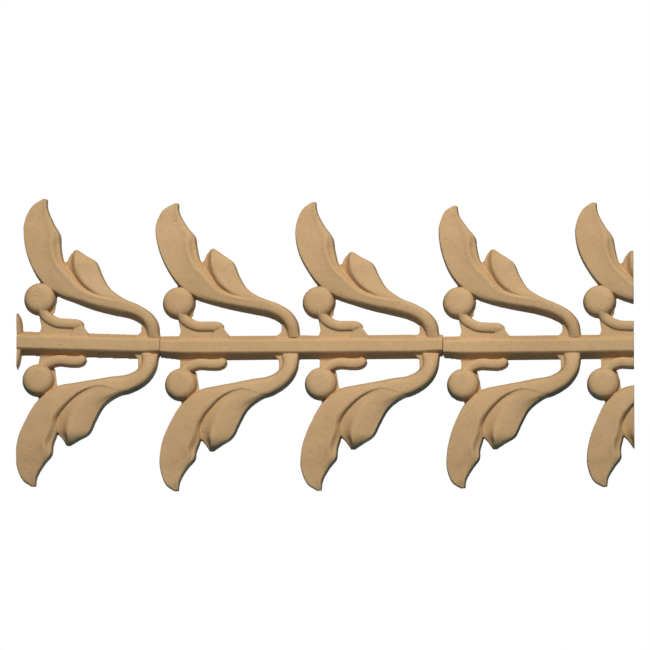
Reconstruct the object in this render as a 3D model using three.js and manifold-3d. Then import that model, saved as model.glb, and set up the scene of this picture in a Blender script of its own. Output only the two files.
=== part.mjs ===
// A running leaf moulding cast in tan resin: three castings butted end to end along one rib.
// Leaf sprays grow above and below the rib, each with a side lobe, and a berry on its own stem.
// Millimetres. X runs along the rib and Z up the wall. The back is flat at y = 0, the relief faces -Y.
// The origin is on the back of the rib, halfway along the length shown.

import * as THREE from 'three';
import { mergeVertices } from 'three/addons/utils/BufferGeometryUtils.js';
import Module from 'manifold-3d';

const wasm = await Module();
wasm.setup();

// The run of castings
const runLength = 240.3;
const pitch = 55;
const repeatsPerCasting = 2;
const middleCastingStart = -63.9;
const seamGap = 0.3;
const leftTilt = 2.35;
const middleTilt = 0.35;
const leftRise = 0.35;
const rightDrop = 1.4;

// The rib
const ribBaseWidth = 9.7;
const ribFaceWidth = 4.9;
const ribRelief = 5.2;
const ribEdgeRound = 0.35;

// The sprays: how far they reach from the middle of the rib, and how far a cast wall slopes in
// for each unit of its height
const sprayHeight = 56.4;
const wallDraft = 0.27;

// Heights above the flat back: at the tip, over the full blade, and where the blade has closed into its stalk
const leafRelief = {
  rim: { tip: 2.4, full: 5.2, stalk: 5 },
  dish: { tip: 2.6, full: 5.2, stalk: 6.4 },
  ridge: { tip: 2.8, full: 6.2, stalk: 6.5 },
  groove: { tip: 2.4, full: 4.6, stalk: 5.2 },
};
const lobeRelief = {
  groove: { tip: 2.1, full: 4, stalk: 5 },
  ridge: { tip: 3, full: 6.1, stalk: 5.8 },
  face: { tip: 2.9, full: 5.5, stalk: 5.7 },
  edge: { tip: 2.5, full: 4.4, stalk: 4.7 },
};

// The berries and what carries them
const berryRadius = 6.55;
const berryWallRelief = 3.6;
const berryRelief = 6.2;
const stemWidth = 4.6;
const stemRelief = 5;
const stemWebRelief = 3.4;
const webRelief = 2.2;

// Shares of the way across a section, from its left edge to its right one
const dishAt = 0.42;
const ridgeAt = 0.8;
const stalkRidgeAt = 0.62;
const lobeRidgeAt = 0.27;
const lobeFaceAt = 0.62;
const widestWall = 0.28;

// Shares of the way from tip to foot: where the relief is full, and where the blade closes into the stalk
const leafGrownAt = 0.34;
const leafClosing = [0.5, 0.75];
const lobeGrownAt = 0.3;
const lobeClosing = [0.55, 0.95];

// Facets
const stepsPerStation = 2;
const berrySides = 16;

// One spray above the rib, in hundredths of the pitch along X and of the spray's height along Z.
// It is measured from where the stalk's outer side meets the rib, and the leaf leans to -X.
// Both edges run from the tip down to the foot, and their points lie opposite each other.
const leafOuterEdge = [
  [-91.6, 100.3], [-98, 95.4], [-102.1, 84.8], [-102.3, 75.5], [-99.6, 63.6], [-93.6, 51.6],
  [-85.6, 41.2], [-74.2, 33.4], [-62.2, 29.3], [-48.1, 25.5], [-33.9, 22.4], [-22, 19.5],
  [-14.8, 15.7], [-12.2, 11], [-13, 4.6],
];
const leafInnerEdge = [
  [-88, 100.3], [-86.9, 93.6], [-81.3, 84], [-75.3, 75.5], [-73.8, 67], [-70.8, 56.9],
  [-62.9, 46.6], [-54.4, 40], [-44.5, 36.5], [-35.3, 35.4], [-26.1, 33.1], [-15.5, 29.3],
  [-7.1, 24], [-1.9, 16.9], [-0.2, 4.6],
];
const lobeGrooveEdge = [
  [-64.3, 65.8], [-67.9, 61], [-68.6, 54.8], [-64.3, 45.9], [-55.1, 38.3], [-43.8, 31.4], [-31.1, 25.9],
];
const lobeOuterEdge = [
  [-61.3, 65.9], [-55.6, 62.4], [-47.8, 57.9], [-43.4, 49.3], [-38, 41], [-29.7, 35.2], [-19.8, 30.7],
];
const stemLine = [
  [-86.9, 30], [-84.8, 22.4], [-79.8, 17.5], [-72.8, 14.4], [-63.6, 14.1], [-57.8, 13.6], [-54.8, 10.6],
  [-53.9, 4],
];
const berryCentre = [-86.2, 31];
const stemWeb = [[-86.5, 20], [-84.5, 11], [-87, 4], [-52.5, 4], [-54.5, 12], [-70, 15], [-80, 19]];
const neckWeb = {
  above: [[-89.8, 43.6], [-78, 40], [-74.4, 34], [-76, 22], [-83, 18], [-88, 30], [-90.3, 40.8]],
  below: [[-86, 46], [-78, 40], [-74.4, 34], [-76, 22], [-83, 18], [-86, 30], [-86, 40]],
};
const footWeb = [[-13.6, 16], [-12.6, 10], [-17, 4], [-3, 4], [-4, 16]];

// Places where a spray bends, because castings set by hand differ a little: each spray has its own pose
const bendPlaces = {
  tip: [-89, 100], corner: [-103, 88], blade: [-78, 79], belly: [-102, 74], neck: [-92, 48],
  notch: [-70, 57], lobe: [-62, 66], lip: [-52, 62], shoulder: [-38, 41], stalk: [-11, 28], inner: [-42, 24],
  window: [-74, 28], berry: [-86, 31], stem: [-57, 12], web: [-86, 6], hook: [-14, 14], heel: [0, 8],
};
const bendReach = 15;
// The sprays below the rib share this pose and add their own to it
const belowPose = {
  tip: [2.4, -1], corner: [3.7, 0], blade: [2, 0], belly: [3.4, 0], neck: [3, 0],
  notch: [0.7, 6.5], lobe: [0, 6], lip: [0.6, 3.8], shoulder: [2.3, 4.2], stalk: [0.9, 4.3], inner: [0, -2.7],
  window: [5, -4.6], berry: [0.4, -7.7], stem: [-0.6, -1.2], web: [-2, 0], hook: [-2.8, -2], heel: [0.9, 0],
};
const leftPose = {
  above: { tip: [3.7, 1], corner: [0.7, 0], blade: [1.5, 0], belly: [1, 0], inner: [0, -2], stalk: [0, -1],
    berry: [-1.5, 0], stem: [-0.9, 0] },
  below: { tip: [2, 0], blade: [1, 0], belly: [-1.5, 0], neck: [-1.5, 0], lobe: [0, -1], shoulder: [-1.5, -2],
    stalk: [0, -1], berry: [-2, 0] },
};
const sprayPoses = {
  leftOuter: { foot: 2.5, ...leftPose },
  leftInner: { foot: 0.3, ...leftPose },
  middleFirst: {
    foot: -1,
    above: { tip: [1.8, 0.4], corner: [-3.4, 0.8], blade: [0.8, 0], notch: [0, 2], lobe: [0.3, 5.8],
      stalk: [0, 1.3], inner: [0, 0.8], window: [-1, 0.4], hook: [0.7, 0.6] },
    below: { belly: [-1, 0], neck: [-1, 0], notch: [0.8, 2.6], lobe: [-0.5, 1.2], shoulder: [-0.6, 0] },
  },
  middleSecond: {
    foot: -1.8,
    above: { tip: [-0.2, 0.8], corner: [-1.2, 0], blade: [-1, 0], belly: [-1, 0], notch: [-1.7, 0],
      stalk: [0.3, -0.5], inner: [0, -1], stem: [-1, 0], hook: [-1.9, -1.4], heel: [0.3, 0] },
    below: { tip: [2.5, 0], blade: [1.5, 0], lobe: [1.6, 0.5], stalk: [1, 0.3] },
  },
  rightFirst: {
    foot: -2.5,
    above: { tip: [0.5, -2], corner: [1, 0], blade: [0.8, 0], belly: [1.8, 0], notch: [0, 2], lobe: [0.4, 4],
      inner: [0, 1.4], window: [-1, 0.6], stem: [0, -1.6] },
    below: { tip: [3, -3], corner: [3.2, -1], blade: [2, 0], belly: [3, 0], neck: [1, 0], notch: [1, 0.8],
      lobe: [0.6, -1.6], shoulder: [-0.8, 0], berry: [0.9, 0] },
  },
  rightSecond: {
    foot: -4,
    above: { tip: [0.8, -0.6], blade: [-1, 0], belly: [-1, 1], notch: [-0.8, 0], berry: [0.6, 0],
      stem: [0, -1] },
    below: { tip: [4.5, -3], corner: [4, -1], blade: [3.5, 0], belly: [3, 0], neck: [2.4, 0], lobe: [2, 0],
      berry: [1, 0.8] },
  },
};

// A closed triangle mesh as a solid, turned outside out if its faces point in
function solid(geometry) {
  const bare = geometry.clone();
  bare.deleteAttribute('normal');
  bare.deleteAttribute('uv');
  const merged = mergeVertices(bare, 1e-5);
  const vertices = Float32Array.from(merged.attributes.position.array);
  const corners = Uint32Array.from(merged.index.array);
  const triangles = [];
  for (let i = 0; i < corners.length; i += 3) {
    const [a, b, c] = corners.slice(i, i + 3);
    if (a !== b && b !== c && c !== a) triangles.push([a, b, c]);
  }
  const corner = (index) => new THREE.Vector3().fromArray(vertices, 3 * index);
  const volume = triangles.reduce((sum, [a, b, c]) => sum + corner(a).dot(corner(b).cross(corner(c))), 0);
  const turned = volume < 0 ? triangles.map(([a, b, c]) => [a, c, b]) : triangles;
  return new wasm.Manifold(
    new wasm.Mesh({ numProp: 3, vertProperties: vertices, triVerts: Uint32Array.from(turned.flat()) }),
  );
}

function geometryOf(body) {
  const mesh = body.getMesh();
  const geometry = new THREE.BufferGeometry();
  geometry.setAttribute('position', new THREE.BufferAttribute(Float32Array.from(mesh.vertProperties), 3));
  geometry.setIndex(new THREE.BufferAttribute(Uint32Array.from(mesh.triVerts), 1));
  geometry.computeVertexNormals();
  return geometry;
}

// A body through sections of equally many points, each [share across, height] on its own line left to right
function loft(stations) {
  const count = stations[0].profile.length;
  const points = stations.flatMap(({ left, right, profile }) =>
    profile.map(([across, height]) => {
      const place = left.clone().lerp(right, across);
      return new THREE.Vector3(place.x, -height, place.y);
    }),
  );
  const index = [];
  for (let s = 0; s + 1 < stations.length; s++) {
    for (let k = 0; k < count; k++) {
      const [a, b] = [s * count + k, s * count + ((k + 1) % count)];
      index.push(a, b, b + count, a, b + count, a + count);
    }
  }
  const last = (stations.length - 1) * count;
  for (let k = 1; k + 1 < count; k++) {
    index.push(0, k + 1, k, last, last + k, last + k + 1);
  }
  const geometry = new THREE.BufferGeometry().setFromPoints(points);
  geometry.setIndex(index);
  return solid(geometry);
}

// A flat outline raised from the back
function raised(outline, height) {
  const shape = new THREE.Shape(outline);
  const geometry = new THREE.ExtrudeGeometry(shape, { depth: height, bevelEnabled: false });
  return solid(geometry.rotateX(Math.PI / 2));
}

// Places one spray: side is 1 above the rib and -1 below it
function sprayPlacer(footX, side, pose) {
  const bends = Object.entries(bendPlaces).map(([name, place]) => {
    const own = pose[name] ?? [0, 0];
    const shared = side < 0 ? belowPose[name] : [0, 0];
    return { place, move: new THREE.Vector2(own[0] + shared[0], own[1] + shared[1]) };
  });
  return ([x, z]) => {
    const moved = new THREE.Vector2(x, z);
    const pulls = bends.map(({ place }) =>
      Math.exp(-((Math.hypot(x - place[0], z - place[1]) / bendReach) ** 2)));
    const total = Math.max(1, pulls.reduce((sum, pull) => sum + pull));
    bends.forEach(({ move }, k) => moved.addScaledVector(move, pulls[k] / total));
    return new THREE.Vector2(footX + (moved.x * pitch) / 100, (side * moved.y * sprayHeight) / 100);
  };
}

// A smooth line through the points of one edge
function edgeCurve(edge, place) {
  const points = edge.map((point) => new THREE.Vector3(...place(point).toArray(), 0));
  const curve = new THREE.CatmullRomCurve3(points, false, 'centripetal');
  return (share) => new THREE.Vector2(...curve.getPoint(share).toArray());
}

// Matching stations along two edges, from tip to foot
function alongEdges(leftEdge, rightEdge, place, sectionAt) {
  const [leftAt, rightAt] = [edgeCurve(leftEdge, place), edgeCurve(rightEdge, place)];
  const steps = (leftEdge.length - 1) * stepsPerStation;
  return Array.from({ length: steps + 1 }, (_, step) => {
    const share = step / steps;
    const [left, right] = [leftAt(share), rightAt(share)];
    return { left, right, profile: sectionAt(share, left.distanceTo(right)) };
  });
}

// The share of a section that a drafted wall of the given height takes
const wallShare = (height, width) => Math.min((wallDraft * height) / width, widestWall);

// The heights of a section at a share of the way from tip to foot
function heightsAt(relief, share, grownAt, closing) {
  const grown = THREE.MathUtils.smoothstep(share, 0, grownAt);
  const closed = THREE.MathUtils.smoothstep(share, ...closing);
  const heights = Object.entries(relief).map(([name, { tip, full, stalk }]) =>
    [name, THREE.MathUtils.lerp(THREE.MathUtils.lerp(tip, full, grown), stalk, closed)]);
  return { closed, ...Object.fromEntries(heights) };
}

// The leaf: raised outer rim, dished blade, a ridge near the inner side, then a flank down to the groove.
// Towards the foot the blade closes into a round stalk.
function leafSection(share, width) {
  const { closed, rim, dish, ridge, groove } = heightsAt(leafRelief, share, leafGrownAt, leafClosing);
  const crestAt = THREE.MathUtils.lerp(ridgeAt, stalkRidgeAt, closed);
  return [
    [0, 0], [wallShare(rim, width), rim], [dishAt, dish], [crestAt, ridge],
    [1 - wallShare(groove, width), groove], [1, 0],
  ];
}

// The side lobe: a facet up from the groove to a ridge, then a gently dished face to the outer edge
function lobeSection(share, width) {
  const { groove, ridge, face, edge } = heightsAt(lobeRelief, share, lobeGrownAt, lobeClosing);
  return [
    [0, 0], [wallShare(groove, width), groove], [lobeRidgeAt, ridge], [lobeFaceAt, face],
    [1 - wallShare(edge, width), edge], [1, 0],
  ];
}

// The berry's stem: a half-round bar along a line
function stemBody(place) {
  const lineAt = edgeCurve(stemLine, place);
  const steps = (stemLine.length - 1) * stepsPerStation;
  const [crown, haunch] = [0.1, 0.7];
  const wall = wallShare(stemRelief * haunch, stemWidth);
  const profile = [
    [0, 0], [wall, stemRelief * haunch], [0.5 - crown, stemRelief], [0.5 + crown, stemRelief],
    [1 - wall, stemRelief * haunch], [1, 0],
  ];
  const centres = Array.from({ length: steps + 1 }, (_, step) => lineAt(step / steps));
  const stations = centres.map((centre, k) => {
    const along = centres[Math.min(k + 1, steps)].clone().sub(centres[Math.max(k - 1, 0)]).normalize();
    const aside = new THREE.Vector2(-along.y, along.x).multiplyScalar(stemWidth / 2);
    return { left: centre.clone().add(aside), right: centre.clone().sub(aside), profile };
  });
  return loft(stations);
}

// A low button with a drafted wall and a domed face
function berryBody(place) {
  const centre = place(berryCentre);
  const faceRadius = berryRadius - wallDraft * berryWallRelief;
  const dome = [0, 40, 90].map((angle) => {
    const turn = THREE.MathUtils.degToRad(angle);
    const radius = angle === 90 ? 0 : faceRadius * Math.cos(turn);
    return new THREE.Vector2(radius, -THREE.MathUtils.lerp(berryWallRelief, berryRelief, Math.sin(turn)));
  });
  const profile = [new THREE.Vector2(0, 0), new THREE.Vector2(berryRadius, 0), ...dome];
  const geometry = new THREE.LatheGeometry(profile, berrySides);
  return solid(geometry.translate(centre.x, 0, centre.y));
}

function sprayBodies({ place, side }) {
  return [
    loft(alongEdges(leafOuterEdge, leafInnerEdge, place, leafSection)),
    loft(alongEdges(lobeGrooveEdge, lobeOuterEdge, place, lobeSection)),
    stemBody(place),
    berryBody(place),
    raised(stemWeb.map(place), stemWebRelief),
    raised((side > 0 ? neckWeb.above : neckWeb.below).map(place), webRelief),
    raised(footWeb.map(place), webRelief),
  ];
}

// The rib: a bar with sloping sides and a flat face, from x = 0
function ribBody(length) {
  const [base, face, height, round] = [ribBaseWidth / 2, ribFaceWidth / 2, ribRelief, ribEdgeRound];
  const half = [[base, 0], [face + round, height - 2 * round], [face - round, height]];
  const outline = [...half, ...half.map(([z, y]) => [-z, y]).reverse()];
  const shape = new THREE.Shape(outline.map(([z, y]) => new THREE.Vector2(z, y)));
  const geometry = new THREE.ExtrudeGeometry(shape, { depth: length, bevelEnabled: false });
  // The outline's x becomes Z, its y becomes -Y and the depth runs along X
  const basis = new THREE.Matrix4().makeBasis(
    new THREE.Vector3(0, 0, 1), new THREE.Vector3(0, -1, 0), new THREE.Vector3(1, 0, 0),
  );
  return solid(geometry.applyMatrix4(basis));
}

const castingLength = repeatsPerCasting * pitch;
const tiltAngle = THREE.MathUtils.degToRad(leftTilt);
// The tilted end leans over its neighbour by this much at the rib's upper side
const tiltLean = (ribBaseWidth / 2) * Math.sin(tiltAngle);

// Each casting starts at its left end, is turned about the place turnedAt along it, and then raised
const castings = [
  {
    name: 'left_casting', start: middleCastingStart - seamGap - tiltLean - castingLength,
    turn: tiltAngle, turnedAt: castingLength, rise: leftRise,
    poses: [sprayPoses.leftOuter, sprayPoses.leftInner],
  },
  {
    name: 'middle_casting', start: middleCastingStart,
    turn: THREE.MathUtils.degToRad(middleTilt), turnedAt: 0, rise: 0,
    poses: [sprayPoses.middleFirst, sprayPoses.middleSecond],
  },
  {
    name: 'right_casting', start: middleCastingStart + castingLength + seamGap,
    turn: 0, turnedAt: 0, rise: -rightDrop,
    poses: [sprayPoses.rightFirst, sprayPoses.rightSecond],
  },
];

// The sprays run on along a casting for as long as the next berry and the start of its stem
// are on the length shown
function castingBody({ start, poses }) {
  const sprays = poses.flatMap((pose, repeat) => {
    const footX = (repeat + 1 + pose.foot / 100) * pitch;
    return [1, -1].map((side) =>
      ({ side, place: sprayPlacer(footX, side, side > 0 ? pose.above : pose.below) }));
  });
  const shown = sprays.filter(({ place }) => start + place(berryCentre).x + stemWidth < runLength / 2);
  return shown.flatMap(sprayBodies).reduce((joined, body) => joined.add(body), ribBody(castingLength));
}

// The length shown: everything past its two square ends is cut away
const roomAcross = 4 * sprayHeight;
const lengthShown = solid(new THREE.BoxGeometry(runLength, roomAcross, roomAcross));

const moulding = new THREE.Group();
for (const casting of castings) {
  const { name, start, turn, turnedAt, rise } = casting;
  const placed = geometryOf(castingBody(casting))
    .translate(-turnedAt, 0, 0)
    .rotateY(turn)
    .translate(start + turnedAt, 0, rise);
  const material = new THREE.MeshStandardMaterial({ color: 0xc6a277, roughness: 0.7, metalness: 0 });
  const mesh = new THREE.Mesh(geometryOf(solid(placed).intersect(lengthShown)), material);
  mesh.name = name;
  moulding.add(mesh);
}

export default moulding;
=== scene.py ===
"""A running leaf moulding cast in tan resin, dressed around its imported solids.

Each casting is carved again from the same outlines as its solid, with fuller sections, soft cast
edges, a slightly uneven face and pores, and then stands in for that solid. Castings are in
millimetres and become metres where a mesh is made; lamps and floor are in metres. X runs along
the rib, Z up the wall, and the relief faces -Y.
"""

import math

import bmesh
import bpy
import numpy as np
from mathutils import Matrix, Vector


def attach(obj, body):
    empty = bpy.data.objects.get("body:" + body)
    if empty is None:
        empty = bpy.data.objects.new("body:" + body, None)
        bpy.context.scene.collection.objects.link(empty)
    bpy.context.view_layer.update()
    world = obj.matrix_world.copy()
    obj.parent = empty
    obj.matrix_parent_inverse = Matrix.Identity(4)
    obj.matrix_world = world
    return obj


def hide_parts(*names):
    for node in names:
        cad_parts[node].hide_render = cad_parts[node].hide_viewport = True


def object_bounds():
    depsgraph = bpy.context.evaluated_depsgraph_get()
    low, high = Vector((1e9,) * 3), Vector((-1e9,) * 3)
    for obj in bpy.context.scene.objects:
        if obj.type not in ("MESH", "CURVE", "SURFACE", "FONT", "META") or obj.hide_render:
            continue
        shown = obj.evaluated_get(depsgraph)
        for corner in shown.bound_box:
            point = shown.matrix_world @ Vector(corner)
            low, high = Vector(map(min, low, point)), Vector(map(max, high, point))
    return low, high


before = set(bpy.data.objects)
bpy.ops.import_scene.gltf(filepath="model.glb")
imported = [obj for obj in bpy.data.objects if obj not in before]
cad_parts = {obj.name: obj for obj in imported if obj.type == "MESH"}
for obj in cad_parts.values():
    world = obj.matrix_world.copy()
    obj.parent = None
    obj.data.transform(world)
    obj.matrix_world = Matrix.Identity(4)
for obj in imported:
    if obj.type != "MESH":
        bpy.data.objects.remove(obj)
cad_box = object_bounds()

MM = 0.001

# The run of castings, as the solids are laid out
RUN_LEFT, RUN_RIGHT = cad_box[0].x / MM, cad_box[1].x / MM
PITCH = 55
CASTING_LENGTH = 2 * PITCH
MIDDLE_START = -63.9
SEAM_GAP = 0.3
LEFT_TILT = math.radians(2.35)
MIDDLE_TILT = math.radians(0.35)
LEFT_RISE = 0.35
RIGHT_DROP = 1.4

# The rib
RIB_BASE_WIDTH = 9.7
RIB_FACE_WIDTH = 4.9
RIB_RELIEF = 5.2
RIB_EDGE_ROUND = 0.35
# Its lower side draws in towards the ends of each casting
RIB_SLIM_SHARE = 0.78
RIB_SLIM_LENGTH = 9
# It runs on this far into the seam at each end, so that the castings look butted
RIB_SEAM_REACH = 0.08

# The sprays
SPRAY_HEIGHT = 56.4
BLADE_DRAFT = 0.11
STALK_DRAFT = 0.27
STALK_DRAFT_FROM = (0.36, 0.5)
BERRY_RADIUS = 6.55
BERRY_WALL_RELIEF = 3.8
BERRY_RELIEF = 6.2
BERRY_DRAFT = 0.16
BERRY_DOME_SHARES = (1, 0.985, 0.96, 0.92, 0.86, 0.76, 0.62, 0.4, 0.15)
BERRY_DOME_POWERS = (4, 0.6)
STEM_WIDTH = 4.6
STEM_RELIEF = 5.0
STEM_DRAFT = 0.1
STEM_START_WIDTH = 1.2
STEM_START_RELIEF = 6.4
STEM_TAPER_LENGTH = 5.5
STEM_END_LENGTH = 2.6
# How far its blunt end rounds in plan, and the power of that by which it drops in height
STEM_END_ROUND = 0.96
STEM_END_SETTLE = 0.4
# Share of its height that is wall, and how full the round above that wall is
STEM_HAUNCH = 0.76
STEM_CROWN_POWER = 0.8
STEM_CROWN_STEPS = 11
STEM_WEB_RELIEF = {1: 3.7, -1: 1.6}
STEM_END_RELIEF = {1: 4.4, -1: 1.6}
WEB_RELIEF = 1.6
FOOT_WEB_RELIEF = 3.4

# Above this relief the crests are pressed down more and more, to stay within the solids' depth
CROWN_FROM = 5.6
CROWN_REACH = 1.6

# How finely the castings are carved
STEPS_PER_STATION = 6
PROFILE_STEPS = 5
BERRY_SIDES = 72
VOXEL = 0.25
SOFTENING_ROUNDS = 2
SOFTENING_FACTOR = 0.5
MOST_TRIANGLES = 190000
TRIM_TOLERANCE = 1e-7

# The poured surface, which is flat at the back and reaches its full unevenness this far above it
UNEVEN_FROM = 1
UNEVEN_DEPTH = 0.03
UNEVEN_LENGTHS = (2.5, 9)
UNEVEN_WAVES = 30
PORES_PER_CASTING = 34
PORE_RADII = (0.2, 0.42)
PORE_LEAST_FACING = 0.6

# One spray above the rib, in hundredths of the pitch along X and of the spray's height along Z,
# from where the stalk's outer side meets the rib. Both edges run from the tip down to the foot.
LEAF_OUTER_EDGE = [
    (-91.6, 100.3), (-98, 95.4), (-102.1, 84.8), (-102.3, 75.5), (-99.6, 63.6), (-93.6, 51.6),
    (-85.6, 41.2), (-74.2, 33.4), (-62.2, 29.3), (-48.1, 25.5), (-33.9, 22.4), (-22, 19.5),
    (-14.7, 15.7),
]
# Where that edge comes down: narrow above the rib, broad below it
LEAF_OUTER_FOOT = {1: [(-11.4, 11), (-10, 5.6)], -1: [(-12.3, 11), (-13, 6.4)]}
LEAF_INNER_TOP = [
    (-88, 100.3), (-86.9, 93.6), (-81.3, 84), (-75.3, 75.5), (-73.8, 67), (-70.8, 56.9),
]
LEAF_INNER_FOOT = [(-26.1, 33.1), (-15.5, 29.3), (-7.1, 24), (-1.9, 16.9), (-0.2, 6)]
# From the notch to the shoulder the leaf meets the lobe in a groove, with a line of its own below
# the rib
LEAF_AT_GROOVE = {
    1: [(-64.2, 48.4), (-55.8, 39.4), (-46.4, 35.2), (-36, 33.6)],
    -1: [(-71.3, 49.6), (-63.4, 41), (-52.4, 34.4), (-39.5, 30.6)],
}
# The lobe runs on under the leaf
LOBE_GROOVE_EDGE = {
    1: [
        (-64.3, 65.8), (-67.9, 61), (-69.6, 54.2), (-65.8, 44.2), (-56.4, 36.7), (-44.9, 29.7),
        (-32, 24.2),
    ],
    -1: [
        (-64.3, 65.8), (-67.4, 61), (-72.3, 55.5), (-74.2, 47.5), (-65.5, 37.4), (-53.5, 30.3),
        (-40, 25),
    ],
}
LOBE_OUTER_EDGE = [
    (-61.3, 65.9), (-55.6, 62.4), (-47.8, 57.9), (-43.4, 49.3), (-38, 41), (-29.7, 35.2), (-19.8, 30.7),
]
STEM_LINE = [
    (-86.4, 27), (-84.8, 22.4), (-79.8, 17.5), (-72.8, 14.4), (-63.6, 14.1), (-57.8, 13.6),
]
STEM_FOOT = {1: [(-56.6, 11.2)], -1: [(-55.4, 12.4), (-53.8, 9.4)]}
BERRY_CENTRE = (-86.2, 31)
STEM_WEB = [(-86.5, 20), (-84.5, 11), (-87, 4), (-52.5, 4), (-54.5, 12), (-70, 15), (-80, 19)]
STEM_END_WEB = [(-60, 12), (-57.2, 16.4), (-50.8, 8.6), (-50, 4), (-64, 4)]
NECK_WEBS = {
    1: [(-87.5, 42.5), (-78, 40), (-74.4, 34), (-76, 22), (-83, 18), (-88, 30), (-88.5, 39)],
    -1: [(-86, 46), (-78, 40), (-74.4, 34), (-76, 22), (-83, 18), (-86, 30), (-86, 40)],
}
NOTCH_WEB = [(-71.5, 57.5), (-66.5, 58), (-64.5, 53), (-70, 50)]
FOOT_WEB = [(-13.6, 15), (-13.6, 10), (-20, 4), (-2, 4), (-4, 15)]

# Places where a spray bends, and how far each spray of the run moves them
BEND_PLACES = {
    "tip": (-89, 100), "corner": (-103, 88), "blade": (-78, 79), "belly": (-102, 74),
    "neck": (-92, 48), "notch": (-70, 57), "lobe": (-62, 66), "lip": (-52, 62),
    "shoulder": (-38, 41), "stalk": (-11, 28), "inner": (-42, 24), "window": (-74, 28),
    "berry": (-86, 31), "stem": (-57, 12), "web": (-86, 6), "hook": (-14, 14), "heel": (0, 8),
}
BEND_REACH = 15
BELOW_POSE = {
    "tip": (2.4, -1), "corner": (3.7, 0), "blade": (2, 0), "belly": (3.4, 0), "neck": (3, 0),
    "notch": (0.7, 6.5), "lobe": (0, 6), "lip": (0.6, 3.8), "shoulder": (2.3, 4.2),
    "stalk": (0.9, 4.3), "inner": (0, -2.7), "window": (5, -4.6), "berry": (0.4, -7.7),
    "stem": (-0.6, -1.2), "web": (-2, 0), "hook": (-2.8, -2), "heel": (0.9, 0),
}
LEFT_ABOVE = {
    "tip": (3.7, 1), "corner": (0.7, 0), "blade": (1.5, 0), "belly": (1, 0), "inner": (0, -2),
    "stalk": (0, -1), "berry": (-1.5, 0), "stem": (-0.9, 0),
}
LEFT_BELOW = {
    "tip": (2, 0), "blade": (1, 0), "belly": (-1.5, 0), "neck": (-1.5, 0), "lobe": (0, -1),
    "shoulder": (-1.5, -2), "stalk": (0, -1), "berry": (-2, 0),
}
# For each casting, its two repeats: the foot's offset, then the pose above and below the rib
SPRAY_POSES = {
    "left_casting": [(2.5, LEFT_ABOVE, LEFT_BELOW), (0.3, LEFT_ABOVE, LEFT_BELOW)],
    "middle_casting": [
        (-1, {
            "tip": (1.8, 0.4), "corner": (-3.4, 0.8), "blade": (0.8, 0), "notch": (0, 2),
            "lobe": (0.3, 5.8), "stalk": (0, 1.3), "inner": (0, 0.8), "window": (-1, 0.4),
            "hook": (0.7, 0.6),
        }, {
            "belly": (-1, 0), "neck": (-1, 0), "notch": (0.8, 2.6), "lobe": (-0.5, 1.2),
            "shoulder": (-0.6, 0),
        }),
        (-1.8, {
            "tip": (-0.2, 0.8), "corner": (-1.2, 0), "blade": (-1, 0), "belly": (-1, 0),
            "notch": (-1.7, 0), "stalk": (0.3, -0.5), "inner": (0, -1), "stem": (-1, 0),
            "hook": (-1.9, -1.4), "heel": (0.3, 0),
        }, {"tip": (2.5, 0), "blade": (1.5, 0), "lobe": (1.6, 0.5), "stalk": (1, 0.3)}),
    ],
    "right_casting": [
        (-2.5, {
            "tip": (0.5, -2), "corner": (1, 0), "blade": (0.8, 0), "belly": (1.8, 0),
            "notch": (0, 2), "lobe": (0.4, 4), "inner": (0, 1.4), "window": (-1, 0.6),
            "stem": (0, -1.6),
        }, {
            "tip": (3, -3), "corner": (3.2, -1), "blade": (2, 0), "belly": (3, 0), "neck": (1, 0),
            "notch": (1, 0.8), "lobe": (0.6, -1.6), "shoulder": (-0.8, 0), "berry": (0.9, 0),
        }),
        (-4, {
            "tip": (0.8, -0.6), "blade": (-1, 0), "belly": (-1, 1), "notch": (-0.8, 0),
            "berry": (0.6, 0), "stem": (0, -1),
        }, {
            "tip": (4.5, -3), "corner": (4, -1), "blade": (3.5, 0), "belly": (3, 0), "neck": (2.4, 0),
            "lobe": (2, 0), "berry": (1, 0.8),
        }),
    ],
}

# The carved faces. Each line runs from tip to foot at a share of the way across, fixed or named, and
# has its height at each of the shares of the way along.
LEAF_SHARES = [0, 0.07, 0.14, 0.21, 0.28, 0.36, 0.43, 0.5, 0.6, 0.75, 0.93, 1]
LEAF_CREST_AT = [0.97, 0.97, 0.96, 0.9, 0.8, 0.82, 0.88, 0.92, 0.92, 0.84, 0.78, 0.76]
LEAF_LINES = [
    (0.0, [2.3, 3.1, 3.9, 4.6, 5.0, 5.2, 5.1, 4.9, 4.8, 5.0, 5.0, 4.2]),
    (0.22, [2.5, 3.2, 3.9, 4.6, 5.0, 5.3, 5.4, 5.6, 5.9, 6.1, 5.8, 4.6]),
    (0.45, [2.6, 3.2, 3.9, 4.7, 5.1, 5.5, 5.8, 6.0, 6.3, 6.4, 6.1, 4.8]),
    (0.63, [2.6, 3.3, 4.0, 4.8, 5.4, 5.8, 6.1, 6.3, 6.5, 6.5, 6.1, 4.8]),
    ("crest", [2.6, 3.3, 4.1, 5.0, 5.7, 6.0, 6.3, 6.4, 6.5, 6.3, 6.0, 4.7]),
    ("flank", [2.5, 3.2, 4.0, 4.6, 4.4, 4.7, 5.6, 6.1, 6.2, 5.9, 5.6, 4.5]),
    (1.0, [2.3, 3.0, 3.8, 4.3, 4.0, 3.9, 4.5, 5.2, 5.5, 5.2, 5.0, 4.2]),
]
LOBE_SHARES = [0, 0.12, 0.3, 0.5, 0.7, 0.85, 1]
LOBE_RIDGE_AT = {
    1: [0.4, 0.38, 0.31, 0.26, 0.27, 0.5, 0.6],
    -1: [0.4, 0.42, 0.38, 0.42, 0.38, 0.5, 0.6],
}
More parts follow.
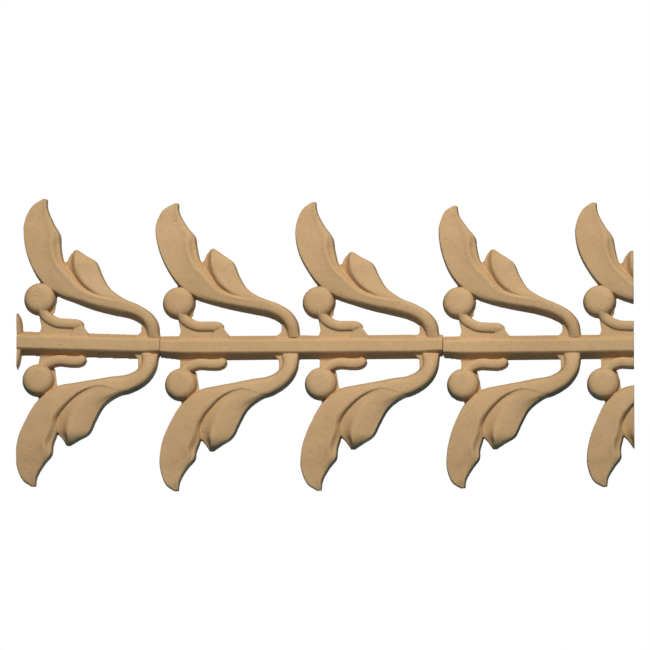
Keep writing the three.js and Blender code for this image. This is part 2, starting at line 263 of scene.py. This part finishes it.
# Where its named lines run: a share of the ridge's place, and a share of the whole width
LOBE_LINE_RULES = {"facet": (0.6, 0), "ridge": (1, 0), "face": (0.65, 0.35), "slope": (0.3, 0.7)}
LOBE_LINES = [
    (0.0, [2.0, 2.4, 2.6, 3.2, 4.7, 6.0, 6.2]),
    ("facet", [2.3, 3.2, 3.9, 4.7, 5.4, 6.2, 6.3]),
    ("ridge", [2.9, 4.8, 6.3, 6.3, 6.1, 6.3, 6.4]),
    ("face", [2.9, 4.5, 5.7, 5.9, 6.0, 6.3, 6.4]),
    ("slope", [2.7, 4.0, 5.1, 5.3, 5.6, 6.2, 6.2]),
    (1.0, [2.4, 3.5, 4.3, 4.5, 4.7, 5.2, 5.3]),
]

rng = np.random.default_rng(55)


def smoothstep(low, high, values):
    share = np.clip((np.asarray(values, float) - low) / (high - low), 0, 1)
    return share * share * (3 - 2 * share)


def along_curve(points, shares):
    """Points on a centripetal Catmull-Rom curve, the same one that the solids follow."""
    points = np.asarray(points, float)
    padded = np.vstack([2 * points[0] - points[1], points, 2 * points[-1] - points[-2]])
    places = np.clip(np.asarray(shares) * (len(points) - 1), 0, len(points) - 1)
    spans = np.minimum(places.astype(int), len(points) - 2)
    weight = (places - spans)[:, None]
    p0, p1, p2, p3 = (padded[spans + k] for k in range(4))
    d0, d1, d2 = (
        np.sqrt(np.linalg.norm(b - a, axis=1))[:, None] for a, b in ((p0, p1), (p1, p2), (p2, p3))
    )
    t1 = ((p1 - p0) / d0 - (p2 - p0) / (d0 + d1) + (p2 - p1) / d1) * d1
    t2 = ((p2 - p1) / d1 - (p3 - p1) / (d1 + d2) + (p3 - p2) / d2) * d1
    c2 = -3 * p1 + 3 * p2 - 2 * t1 - t2
    c3 = 2 * p1 - 2 * p2 + t1 + t2
    return p1 + t1 * weight + c2 * weight**2 + c3 * weight**3


def spray_placer(foot_x, side, pose):
    """Places points of the base spray; side is 1 above the rib and -1 below it."""
    names = list(BEND_PLACES)
    places = np.array([BEND_PLACES[name] for name in names], float)
    shared = BELOW_POSE if side < 0 else {}
    moves = np.array(
        [np.add(pose.get(name, (0, 0)), shared.get(name, (0, 0))) for name in names], float
    )

    def place(points):
        points = np.asarray(points, float).reshape(-1, 2)
        away = np.linalg.norm(points[:, None] - places[None], axis=2)
        pulls = np.exp(-((away / BEND_REACH) ** 2))
        pulls /= np.maximum(1, pulls.sum(axis=1, keepdims=True))
        moved = points + pulls @ moves
        return np.column_stack(
            [foot_x + moved[:, 0] * PITCH / 100, side * moved[:, 1] * SPRAY_HEIGHT / 100]
        )

    return place


def closed_grid(rings):
    """Vertices and faces of a closed body through rings of equally many points."""
    rings = np.asarray(rings, float)
    stations, count = rings.shape[:2]
    faces = []
    for s in range(stations - 1):
        for k in range(count):
            a, b = s * count + k, s * count + (k + 1) % count
            faces.append((a, b, b + count, a + count))
    faces.append(tuple(range(count))[::-1])
    faces.append(tuple(range((stations - 1) * count, stations * count)))
    return rings.reshape(-1, 3), faces


def loft(left, right, profiles):
    """A body whose sections stand on lines from left to right. A profile is (share across, height)."""
    across, height = profiles[..., 0:1], profiles[..., 1]
    plan = left[:, None] + (right - left)[:, None] * across
    return closed_grid(np.stack([plan[..., 0], -height, plan[..., 1]], axis=-1))


def smooth_line(knots_at, knots, at):
    """A smooth line through its knots."""
    slopes = np.gradient(np.asarray(knots, float), np.asarray(knots_at, float))
    spans = np.clip(np.searchsorted(knots_at, at, side="right") - 1, 0, len(knots_at) - 2)
    x0, x1 = np.take(knots_at, spans), np.take(knots_at, spans + 1)
    y0, y1 = np.take(knots, spans), np.take(knots, spans + 1)
    m0, m1 = np.take(slopes, spans), np.take(slopes, spans + 1)
    t = (np.asarray(at) - x0) / (x1 - x0)
    return (
        y0 * (1 + 2 * t) * (1 - t) ** 2 + m0 * (x1 - x0) * t * (1 - t) ** 2
        + y1 * t * t * (3 - 2 * t) + m1 * (x1 - x0) * t * t * (t - 1)
    )


def carved_form(left_edge, right_edge, lines, line_shares, place, named_at):
    """A form between two edges whose face runs through the lines, with a drafted wall at each side.
    named_at gives the share across at each line share, for the lines that have a name."""
    shares = np.linspace(0, 1, (len(left_edge) - 1) * STEPS_PER_STATION + 1)
    left, right = (along_curve(place(edge), shares) for edge in (left_edge, right_edge))
    widths = np.linalg.norm(right - left, axis=1)
    heights = np.array([smooth_line(line_shares, knots, shares) for _, knots in lines])
    across = np.array([
        smooth_line(line_shares, np.broadcast_to(named_at.get(at, at), len(line_shares)), shares)
        for at, _ in lines
    ])
    drafts = BLADE_DRAFT + (STALK_DRAFT - BLADE_DRAFT) * smoothstep(*STALK_DRAFT_FROM, shares)
    fine = np.linspace(0, 1, (len(lines) - 1) * PROFILE_STEPS + 1)
    profiles = []
    for k, width in enumerate(widths):
        wall_left = drafts[k] * heights[0, k] / width
        wall_right = BLADE_DRAFT * heights[-1, k] / width
        face = smooth_line(across[:, k], heights[:, k], fine)
        profiles.append([(0, 0), *zip(wall_left + (1 - wall_left - wall_right) * fine, face), (1, 0)])
    return loft(left, right, np.array(profiles))


def stem(place, side):
    """The berry's stem: a half-round bar that starts as a point on the berry and has a blunt end."""
    points = STEM_LINE + STEM_FOOT[side]
    shares = np.linspace(0, 1, (len(points) - 1) * STEPS_PER_STATION + 1)
    line = along_curve(place(points), shares)
    along = np.gradient(line, axis=0)
    along /= np.linalg.norm(along, axis=1, keepdims=True)
    run = np.concatenate([[0], np.cumsum(np.linalg.norm(np.diff(line, axis=0), axis=1))])
    into_end = np.clip(1 - (run[-1] - run) / STEM_END_LENGTH, 0, 1)
    rounding = np.sqrt(1 - (STEM_END_ROUND * into_end) ** 2)
    grown = smoothstep(0, STEM_TAPER_LENGTH, run)
    widths = (STEM_START_WIDTH + (STEM_WIDTH - STEM_START_WIDTH) * grown) * rounding
    heights = STEM_START_RELIEF + (STEM_RELIEF - STEM_START_RELIEF) * grown
    heights *= rounding**STEM_END_SETTLE
    aside = np.column_stack([-along[:, 1], along[:, 0]]) * widths[:, None] / 2
    wall = STEM_DRAFT * STEM_RELIEF * STEM_HAUNCH / STEM_WIDTH
    crown = [
        (
            0.5 - (0.5 - wall) * math.cos(turn),
            STEM_HAUNCH + (1 - STEM_HAUNCH) * math.sin(turn) ** STEM_CROWN_POWER,
        )
        for turn in np.linspace(0, math.pi, STEM_CROWN_STEPS)
    ]
    profile = np.array([(0, 0), *crown, (1, 0)])
    profiles = np.repeat(profile[None], len(line), axis=0)
    profiles[..., 1] *= heights[:, None]
    return loft(line + aside, line - aside, profiles)


def berry(place):
    """A low button with a drafted wall and a flat, soft-edged dome."""
    centre = place([BERRY_CENTRE])[0]
    face_radius = BERRY_RADIUS - BERRY_DRAFT * BERRY_WALL_RELIEF
    dome_relief = BERRY_RELIEF - BERRY_WALL_RELIEF
    flat, soft = BERRY_DOME_POWERS
    dome = [
        (face_radius * out, BERRY_WALL_RELIEF + dome_relief * (1 - out**flat) ** soft)
        for out in BERRY_DOME_SHARES
    ]
    angles = np.linspace(0, 2 * math.pi, BERRY_SIDES, endpoint=False)
    rings = [
        [(centre[0] + radius * math.cos(angle), -height, centre[1] + radius * math.sin(angle))
         for angle in angles]
        for radius, height in [(BERRY_RADIUS, 0), *dome]
    ]
    return closed_grid(rings)


def web(outline, place, relief):
    """A low web between two forms."""
    plan = place(outline)
    return closed_grid([[(x, -height, z) for x, z in plan] for height in (0, relief)])


def rib(turn):
    """A bar with drafted sides, whose ends stand upright once the casting is turned."""
    half = [
        (RIB_BASE_WIDTH / 2, 0),
        (RIB_FACE_WIDTH / 2 + RIB_EDGE_ROUND, RIB_RELIEF - 2 * RIB_EDGE_ROUND),
        (RIB_FACE_WIDTH / 2 - RIB_EDGE_ROUND, RIB_RELIEF),
    ]
    reach = RIB_SEAM_REACH + RIB_BASE_WIDTH / 2 * math.sin(turn)
    rings = []
    stations = [
        (-reach, RIB_SLIM_SHARE), (RIB_SLIM_LENGTH, 1),
        (CASTING_LENGTH - RIB_SLIM_LENGTH, 1), (CASTING_LENGTH + reach, RIB_SLIM_SHARE),
    ]
    for x, share in stations:
        section = half + [(-z * share, y) for z, y in reversed(half)]
        rings.append([(x - z * math.tan(turn), -y, z) for z, y in section])
    return closed_grid(rings)


def casting_forms(poses, start, turn):
    """All closed forms of one casting, from x = 0 at its left end. A spray whose berry would be cut
    by the end of the run is left out."""
    forms = [rib(turn)]
    for repeat, (foot, above, below) in enumerate(poses):
        foot_x = (repeat + 1 + foot / 100) * PITCH
        for side, pose in ((1, above), (-1, below)):
            place = spray_placer(foot_x, side, pose)
            if start + place([BERRY_CENTRE])[0, 0] + STEM_WIDTH >= RUN_RIGHT:
                continue
            crest, ridge = np.array(LEAF_CREST_AT), np.array(LOBE_RIDGE_AT[side])
            forms.append(carved_form(
                LEAF_OUTER_EDGE + LEAF_OUTER_FOOT[side],
                LEAF_INNER_TOP + LEAF_AT_GROOVE[side] + LEAF_INNER_FOOT,
                LEAF_LINES, LEAF_SHARES, place, {"crest": crest, "flank": (1 + crest) / 2}
            ))
            forms.append(carved_form(
                LOBE_GROOVE_EDGE[side], LOBE_OUTER_EDGE, LOBE_LINES, LOBE_SHARES, place,
                {name: of_ridge * ridge + more for name, (of_ridge, more) in LOBE_LINE_RULES.items()}
            ))
            forms += [stem(place, side), berry(place)]
            forms.append(web(STEM_WEB, place, STEM_WEB_RELIEF[side]))
            forms.append(web(STEM_END_WEB, place, STEM_END_RELIEF[side]))
            forms += [web(outline, place, WEB_RELIEF) for outline in (NECK_WEBS[side], NOTCH_WEB)]
            forms.append(web(FOOT_WEB, place, FOOT_WEB_RELIEF))
    return forms


def joined_object(name, forms, move):
    """One object of all the forms, in metres, each with its faces pointing out."""
    vertices, faces, first = [], [], 0
    for form_vertices, form_faces in forms:
        vertices.append(move(form_vertices) * MM)
        faces += [tuple(first + index for index in face) for face in form_faces]
        first += len(form_vertices)
    mesh = bpy.data.meshes.new(name)
    mesh.from_pydata(np.vstack(vertices).tolist(), [], faces)
    body = bmesh.new()
    body.from_mesh(mesh)
    bmesh.ops.recalc_face_normals(body, faces=body.faces)
    body.to_mesh(mesh)
    body.free()
    piece = bpy.data.objects.new(name, mesh)
    bpy.context.scene.collection.objects.link(piece)
    return piece


def apply_modifiers(piece):
    bpy.context.view_layer.update()
    evaluated = piece.evaluated_get(bpy.context.evaluated_depsgraph_get())
    made = bpy.data.meshes.new_from_object(evaluated)
    piece.modifiers.clear()
    piece.data = made


def soften(piece):
    """Joins the forms into one skin and rounds its edges and corners as casting does."""
    remesh = piece.modifiers.new("skin", "REMESH")
    remesh.mode = "VOXEL"
    remesh.voxel_size = VOXEL * MM
    remesh.adaptivity = 0
    smooth = piece.modifiers.new("soft edges", "SMOOTH")
    smooth.factor = SOFTENING_FACTOR
    smooth.iterations = SOFTENING_ROUNDS
    apply_modifiers(piece)


def weather(piece):
    """The slight unevenness of a poured face, a few pores left by bubbles, and lowered crests."""
    count = len(piece.data.vertices)
    spots, normals = np.empty(3 * count), np.empty(3 * count)
    piece.data.vertices.foreach_get("co", spots)
    piece.data.vertices.foreach_get("normal", normals)
    spots, normals = spots.reshape(-1, 3) / MM, normals.reshape(-1, 3)
    depth = np.zeros(count)
    for _ in range(UNEVEN_WAVES):
        heading = rng.normal(size=3)
        heading *= 2 * math.pi / rng.uniform(*UNEVEN_LENGTHS) / np.linalg.norm(heading)
        depth += np.sin(spots @ heading + rng.uniform(0, 2 * math.pi))
    depth *= UNEVEN_DEPTH / math.sqrt(UNEVEN_WAVES)
    facing = np.flatnonzero(normals[:, 1] < -PORE_LEAST_FACING)
    for centre in spots[rng.choice(facing, PORES_PER_CASTING, replace=False)]:
        radius = rng.uniform(*PORE_RADII)
        away = np.linalg.norm(spots - centre, axis=1) / radius
        depth -= radius * np.clip(1 - away**2, 0, None)
    spots += normals * (depth * np.clip(-spots[:, 1] / UNEVEN_FROM, 0, 1))[:, None]
    above = np.clip(-spots[:, 1] - CROWN_FROM, 0, None)
    spots[:, 1] += above - CROWN_REACH * (1 - np.exp(-above / CROWN_REACH))
    piece.data.vertices.foreach_set("co", (spots * MM).ravel())


def trim(piece):
    """Cuts the ends of the run square."""
    body = bmesh.new()
    body.from_mesh(piece.data)
    for end, outward in ((RUN_LEFT, -1), (RUN_RIGHT, 1)):
        parts = body.verts[:] + body.edges[:] + body.faces[:]
        cut = bmesh.ops.bisect_plane(
            body, geom=parts, dist=TRIM_TOLERANCE,
            plane_co=(end * MM, 0, 0), plane_no=(outward, 0, 0), clear_outer=True
        )
        edges = [part for part in cut["geom_cut"] if isinstance(part, bmesh.types.BMEdge)]
        if edges:
            bmesh.ops.edgeloop_fill(body, edges=edges)
    body.to_mesh(piece.data)
    body.free()


def thin_out(piece):
    """Fewer triangles where the skin is flat, as on the back."""
    triangles = sum(len(face.vertices) - 2 for face in piece.data.polygons)
    if triangles > MOST_TRIANGLES:
        decimate = piece.modifiers.new("fewer", "DECIMATE")
        decimate.ratio = MOST_TRIANGLES / triangles
        apply_modifiers(piece)


def placer_of(start, turn, turned_at, rise):
    """Turns a casting in the wall's plane about a place along it, and puts it in the run."""
    def move(vertices):
        x, y, z = (vertices - (turned_at, 0, 0)).T
        turned = np.column_stack(
            [x * math.cos(turn) + z * math.sin(turn), y, z * math.cos(turn) - x * math.sin(turn)]
        )
        return turned + (start + turned_at, 0, rise)

    return move


# For each casting: its start, its turn, where along it that turn is centred, and its rise
TILT_LEAN = RIB_BASE_WIDTH / 2 * math.sin(LEFT_TILT)
LEFT_START = MIDDLE_START - SEAM_GAP - TILT_LEAN - CASTING_LENGTH
CASTING_PLACES = {
    "left_casting": (LEFT_START, LEFT_TILT, CASTING_LENGTH, LEFT_RISE),
    "middle_casting": (MIDDLE_START, MIDDLE_TILT, 0, 0),
    "right_casting": (MIDDLE_START + CASTING_LENGTH + SEAM_GAP, 0, 0, -RIGHT_DROP),
}


# The resin: two tones of tan in faint clouds, with darker flecks over them
RESIN_TONES = [(0.3, (0.55, 0.335, 0.158, 1)), (0.7, (0.615, 0.385, 0.188, 1))]
RESIN_FLECKS = [(0.28, (0.86, 0.84, 0.8, 1)), (0.5, (1, 1, 1, 1))]
RESIN_SPECULAR = 0.35
RESIN_ROUGHNESS = (0.55, 0.8)
GRAIN_STRENGTH = 0.25
GRAIN_DEPTH = 0.1 * MM
# Each pattern's scale, in waves to the metre, then its detail and, where it has one, its roughness
CLOUD_NOISE = (28, 4)
FLECK_NOISE = (1500, 2)
ROUGHNESS_NOISE = (160, 3)
GRAIN_NOISE = (900, 3, 0.6)


def resin_material():
    """Matt tan casting resin, faintly mottled, with a fine grain."""
    material = bpy.data.materials.new("tan resin")
    material.use_nodes = True
    nodes, links = material.node_tree.nodes, material.node_tree.links
    shader = nodes["Principled BSDF"]
    shader.inputs["Specular IOR Level"].default_value = RESIN_SPECULAR
    place = nodes.new("ShaderNodeTexCoord")

    def noise(scale, detail, roughness=0.55):
        node = nodes.new("ShaderNodeTexNoise")
        node.inputs["Scale"].default_value = scale
        node.inputs["Detail"].default_value = detail
        node.inputs["Roughness"].default_value = roughness
        links.new(place.outputs["Object"], node.inputs["Vector"])
        return node

    def ramp(source, stops):
        node = nodes.new("ShaderNodeValToRGB")
        for element, (position, colour) in zip(node.color_ramp.elements, stops):
            element.position, element.color = position, colour
        links.new(source, node.inputs["Fac"])
        return node

    tone = ramp(noise(*CLOUD_NOISE).outputs["Fac"], RESIN_TONES)
    fleck = ramp(noise(*FLECK_NOISE).outputs["Fac"], RESIN_FLECKS)
    mix = nodes.new("ShaderNodeMix")
    mix.data_type = "RGBA"
    mix.blend_type = "MULTIPLY"
    mix.inputs["Factor"].default_value = 1
    links.new(tone.outputs["Color"], mix.inputs["A"])
    links.new(fleck.outputs["Color"], mix.inputs["B"])
    links.new(mix.outputs["Result"], shader.inputs["Base Color"])

    rough = nodes.new("ShaderNodeMapRange")
    rough.inputs["To Min"].default_value, rough.inputs["To Max"].default_value = RESIN_ROUGHNESS
    links.new(noise(*ROUGHNESS_NOISE).outputs["Fac"], rough.inputs["Value"])
    links.new(rough.outputs["Result"], shader.inputs["Roughness"])

    bump = nodes.new("ShaderNodeBump")
    bump.inputs["Strength"].default_value = GRAIN_STRENGTH
    bump.inputs["Distance"].default_value = GRAIN_DEPTH
    links.new(noise(*GRAIN_NOISE).outputs["Fac"], bump.inputs["Height"])
    links.new(bump.outputs["Normal"], shader.inputs["Normal"])
    return material


resin = resin_material()
for node_name, (start, turn, turned_at, rise) in CASTING_PLACES.items():
    forms = casting_forms(SPRAY_POSES[node_name], start, turn)
    piece = joined_object("carved_" + node_name, forms, placer_of(start, turn, turned_at, rise))
    soften(piece)
    weather(piece)
    thin_out(piece)
    trim(piece)
    piece.data.materials.append(resin)
    piece.data.shade_smooth()
    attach(piece, "root")
    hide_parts(node_name)

# The camera looks slightly up and from the right, from far away
CAMERA_AZIMUTH = math.radians(5)
CAMERA_ELEVATION = math.radians(-8)
CAMERA_LENS = 400
FRAME_PIXELS = 650
MM_PER_PIXEL = 0.38869
ORIGIN_PIXEL = (324.89, 346.5)

# Lamps aim at the origin; power is in watts and sizes are in metres
LAMP_SIZE = 0.45
LAMP_SPREAD = math.radians(40)
LAMP_COLOUR = (1, 0.97, 0.91)
KEY_PLACE, KEY_POWER = (0.14, -1.13, 0.81), 1.27
BACK_PLACE, BACK_POWER = (0, 1.4, 0), 0.8

# The floor glows a little, so that it looks pale, but casts no light on the castings
FLOOR_HALF = 6
FLOOR_LEVEL = -1.1
FLOOR_COLOUR = (0.85, 0.85, 0.84, 1)
FLOOR_GLOW = (0.62, 0.56, 0.5, 1)
FLOOR_ROUGHNESS = 0.9

# The world is white to the camera and gives a dim cool light all round
WORLD_SEEN = (1, 1, 1, 1)
WORLD_LIGHT = (0.33, 0.68, 1, 1)
WORLD_STRENGTH = 0.17


def make_camera():
    data = bpy.data.cameras.new("camera")
    data.lens = CAMERA_LENS
    camera = bpy.data.objects.new("camera", data)
    bpy.context.scene.collection.objects.link(camera)
    back = Vector((
        math.sin(CAMERA_AZIMUTH) * math.cos(CAMERA_ELEVATION),
        -math.cos(CAMERA_AZIMUTH) * math.cos(CAMERA_ELEVATION),
        math.sin(CAMERA_ELEVATION),
    ))
    camera.rotation_mode = "QUATERNION"
    camera.rotation_quaternion = (-back).to_track_quat("-Z", "Y")
    right = camera.rotation_quaternion @ Vector((1, 0, 0))
    up = camera.rotation_quaternion @ Vector((0, 1, 0))
    middle = FRAME_PIXELS / 2
    aim = (right * (middle - ORIGIN_PIXEL[0]) + up * (ORIGIN_PIXEL[1] - middle)) * MM_PER_PIXEL * MM
    distance = FRAME_PIXELS * MM_PER_PIXEL * MM * data.lens / data.sensor_width
    camera.location = aim + back * distance
    bpy.context.scene.camera = camera


def lamp(name, place, power):
    data = bpy.data.lights.new(name, "AREA")
    data.size = LAMP_SIZE
    data.energy = power
    data.spread = LAMP_SPREAD
    data.color = LAMP_COLOUR
    light = bpy.data.objects.new(name, data)
    light.location = place
    light.rotation_mode = "QUATERNION"
    light.rotation_quaternion = Vector(place).to_track_quat("Z", "Y")
    bpy.context.scene.collection.objects.link(light)
    return light


def make_stage():
    floor_mesh = bpy.data.meshes.new("floor")
    corners = [
        (x * FLOOR_HALF, y * FLOOR_HALF, FLOOR_LEVEL) for x, y in ((-1, -1), (1, -1), (1, 1), (-1, 1))
    ]
    floor_mesh.from_pydata(corners, [], [(0, 1, 2, 3)])
    floor = bpy.data.objects.new("floor", floor_mesh)
    bpy.context.scene.collection.objects.link(floor)
    material = bpy.data.materials.new("pale floor")
    material.use_nodes = True
    sockets = material.node_tree.nodes["Principled BSDF"].inputs
    sockets["Base Color"].default_value = FLOOR_COLOUR
    sockets["Roughness"].default_value = FLOOR_ROUGHNESS
    sockets["Emission Color"].default_value = FLOOR_GLOW
    sockets["Emission Strength"].default_value = 1
    floor_mesh.materials.append(material)
    floor.visible_diffuse = False
    floor.visible_glossy = False


def make_world():
    world = bpy.data.worlds.new("studio")
    bpy.context.scene.world = world
    world.use_nodes = True
    nodes, links = world.node_tree.nodes, world.node_tree.links
    seen = nodes["Background"]
    seen.inputs["Color"].default_value = WORLD_SEEN
    lit = nodes.new("ShaderNodeBackground")
    lit.inputs["Color"].default_value = WORLD_LIGHT
    lit.inputs["Strength"].default_value = WORLD_STRENGTH
    path, mix = nodes.new("ShaderNodeLightPath"), nodes.new("ShaderNodeMixShader")
    links.new(path.outputs["Is Camera Ray"], mix.inputs["Fac"])
    links.new(lit.outputs["Background"], mix.inputs[1])
    links.new(seen.outputs["Background"], mix.inputs[2])
    links.new(mix.outputs["Shader"], nodes["World Output"].inputs["Surface"])


make_camera()
make_stage()
make_world()
lamp("key", KEY_PLACE, KEY_POWER)
lamp("back", BACK_PLACE, BACK_POWER).visible_camera = False
bpy.context.scene.view_settings.view_transform = "Standard"
